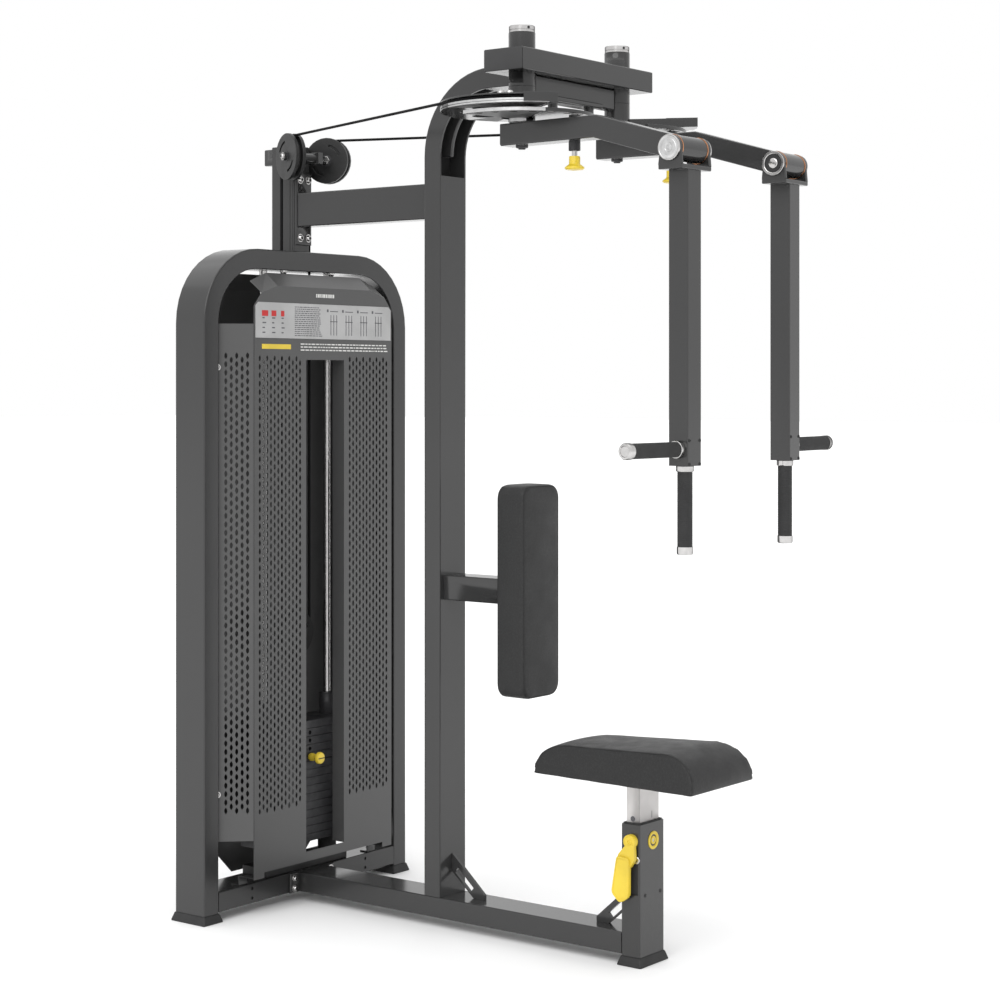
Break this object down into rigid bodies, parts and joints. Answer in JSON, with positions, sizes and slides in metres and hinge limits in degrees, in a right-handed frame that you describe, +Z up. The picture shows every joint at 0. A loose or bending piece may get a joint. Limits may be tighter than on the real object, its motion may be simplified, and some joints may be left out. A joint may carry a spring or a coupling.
{
  "type": "pec fly and rear delt machine",
  "caption": "Strength machine for chest and rear-shoulder flies: shrouded weight tower, cable cams, swinging arms with hand grips, chest pad and height-adjustable seat.",
  "frame": {"origin": "centre of the bounding box on the floor", "axes": "+Z up, +Y from the seat towards the weight tower, +X to the right of someone looking from the seat towards the tower"},
  "size_m": [0.8518, 1.452, 2.1203],
  "materials": {
    "frame_paint": "gloss dark grey powder coat",
    "sheet_paint": "satin dark grey powder coat",
    "chrome": "polished",
    "rubber": "matte",
    "leather": "fine grain upholstery",
    "cast_iron": "matte black paint",
    "yellow": "gloss yellow",
    "nylon": "matte",
    "cam_plate": "gloss dark grey powder coat",
    "cable": "black sheathed wire rope"
  },
  "bodies": {
    "frame": {"tower_arch": "frame_paint", "base_cross_tube": "frame_paint", "base_beam": "frame_paint", "tower_post": "frame_paint", "bridge_beam": "frame_paint", "mast": "frame_paint", "mast_gusset": "frame_paint", "crossbeam": "frame_paint", "stop_bar": "frame_paint", "pulley_bracket": "frame_paint", "pad_arm": "frame_paint", "seat_upright": "frame_paint", "seat_gusset": "frame_paint", "front_shroud": "sheet_paint", "rear_shroud": "sheet_paint", "guide_rod_left": "chrome", "guide_rod_right": "chrome", "stack_base": "rubber", "foot_seat": "rubber", "foot_left": "rubber", "foot_right": "rubber", "chest_pad": "leather", "weight_plates_lower": "cast_iron", "cable_left_run": "cable", "cable_left_drop": "cable", "cable_right_run": "cable", "cable_right_drop": "cable"},
    "stack": {"top_plate": "cast_iron", "weight_plate_1": "cast_iron", "weight_plate_2": "cast_iron", "weight_plate_3": "cast_iron", "weight_plate_4": "cast_iron", "selector_stem": "chrome", "pulley_yoke": "frame_paint", "cable_bight": "cable"},
    "floating_pulley": {"floating_pulley": "nylon"},
    "stack_pin": {"selector_pin": "yellow"},
    "top_pulley_left": {"top_pulley_left": "nylon"},
    "top_pulley_right": {"top_pulley_right": "nylon"},
    "seat": {"seat_pad": "leather", "seat_post": "chrome"},
    "seat_lever": {"seat_lever": "yellow"},
    "cam_left": {"cam_left": "cam_plate", "cable_left_wrap": "cable"},
    "arm_left": {"link_left": "frame_paint", "pivot_shaft_left": "chrome", "joint_axle_left": "chrome"},
    "forearm_left": {"forearm_left": "frame_paint", "vertical_grip_left": "rubber", "horizontal_grip_left": "rubber"},
    "pop_pin_left": {"pop_pin_left": "yellow"},
    "cam_right": {"cam_right": "cam_plate", "cable_right_wrap": "cable"},
    "arm_right": {"link_right": "frame_paint", "pivot_shaft_right": "chrome", "joint_axle_right": "chrome"},
    "forearm_right": {"forearm_right": "frame_paint", "vertical_grip_right": "rubber", "horizontal_grip_right": "rubber"},
    "pop_pin_right": {"pop_pin_right": "yellow"}
  },
  "joints": [
    {"name": "stack_lift", "type": "slide", "parent": "frame", "child": "stack", "axis": [0, 0, 1], "range_m": [0, 0.3], "deforming": ["cable_left_drop", "cable_right_drop"]},
    {"name": "cam_left_spin", "type": "hinge", "parent": "frame", "child": "cam_left", "pos_m": [-0.19, -0.24385, 1.94], "axis": [0, 0, 1], "range_deg": [0, 97.2]},
    {"name": "top_pulley_left_spin", "type": "hinge", "parent": "frame", "child": "top_pulley_left", "pos_m": [-0.07, 0.57815, 1.888], "axis": [0.936, -0.352, 0], "range_deg": [0, 331]},
    {"name": "arm_left_swing", "type": "hinge", "parent": "frame", "child": "arm_left", "pos_m": [-0.19, -0.24385, 1.876], "axis": [0, 0, 1], "range_deg": [-150, 8]},
    {"name": "forearm_left_swing", "type": "hinge", "parent": "arm_left", "child": "forearm_left", "pos_m": [-0.21099, -0.69236, 1.811], "axis": [0.9989, -0.0468, 0], "range_deg": [-25, 25]},
    {"name": "pop_pin_left_pull", "type": "slide", "parent": "arm_left", "child": "pop_pin_left", "axis": [0, 0, -1], "range_m": [0, 0.012], "stiffness_N_per_m": 600, "springref_m": -0.015},
    {"name": "cam_right_spin", "type": "hinge", "parent": "frame", "child": "cam_right", "pos_m": [0.19, -0.24385, 1.94], "axis": [0, 0, 1], "range_deg": [-97.2, 0]},
    {"name": "top_pulley_right_spin", "type": "hinge", "parent": "frame", "child": "top_pulley_right", "pos_m": [0.07, 0.57815, 1.888], "axis": [0.936, 0.352, 0], "range_deg": [0, 331]},
    {"name": "arm_right_swing", "type": "hinge", "parent": "frame", "child": "arm_right", "pos_m": [0.19, -0.24385, 1.876], "axis": [0, 0, 1], "range_deg": [-8, 150]},
    {"name": "forearm_right_swing", "type": "hinge", "parent": "arm_right", "child": "forearm_right", "pos_m": [0.21099, -0.69236, 1.811], "axis": [0.9989, 0.0468, 0], "range_deg": [-25, 25]},
    {"name": "pop_pin_right_pull", "type": "slide", "parent": "arm_right", "child": "pop_pin_right", "axis": [0, 0, -1], "range_m": [0, 0.012], "stiffness_N_per_m": 600, "springref_m": -0.015},
    {"name": "floating_pulley_spin", "type": "hinge", "parent": "stack", "child": "floating_pulley", "pos_m": [0, 0.62682, 0.672], "axis": [0, 1, 0], "continuous": true},
    {"name": "selector_pin_pull", "type": "slide", "parent": "stack", "child": "stack_pin", "axis": [0, -1, 0], "range_m": [0, 0.08]},
    {"name": "seat_height", "type": "slide", "parent": "frame", "child": "seat", "axis": [0, 0, 1], "range_m": [0, 0.15]},
    {"name": "seat_lever_pull", "type": "hinge", "parent": "frame", "child": "seat_lever", "pos_m": [-0.057, -0.44885, 0.283], "axis": [1, 0, 0], "range_deg": [-25, 0], "stiffness_Nm_per_rad": 2, "springref_deg": 11.46}
  ],
  "couplings": [
    {"joint": "cam_left_spin", "follows": "stack_lift", "rad_per_m": 5.6497},
    {"joint": "top_pulley_left_spin", "follows": "stack_lift", "rad_per_m": 19.231},
    {"joint": "cam_right_spin", "follows": "stack_lift", "rad_per_m": -5.6497},
    {"joint": "top_pulley_right_spin", "follows": "stack_lift", "rad_per_m": 19.231}
  ]
}
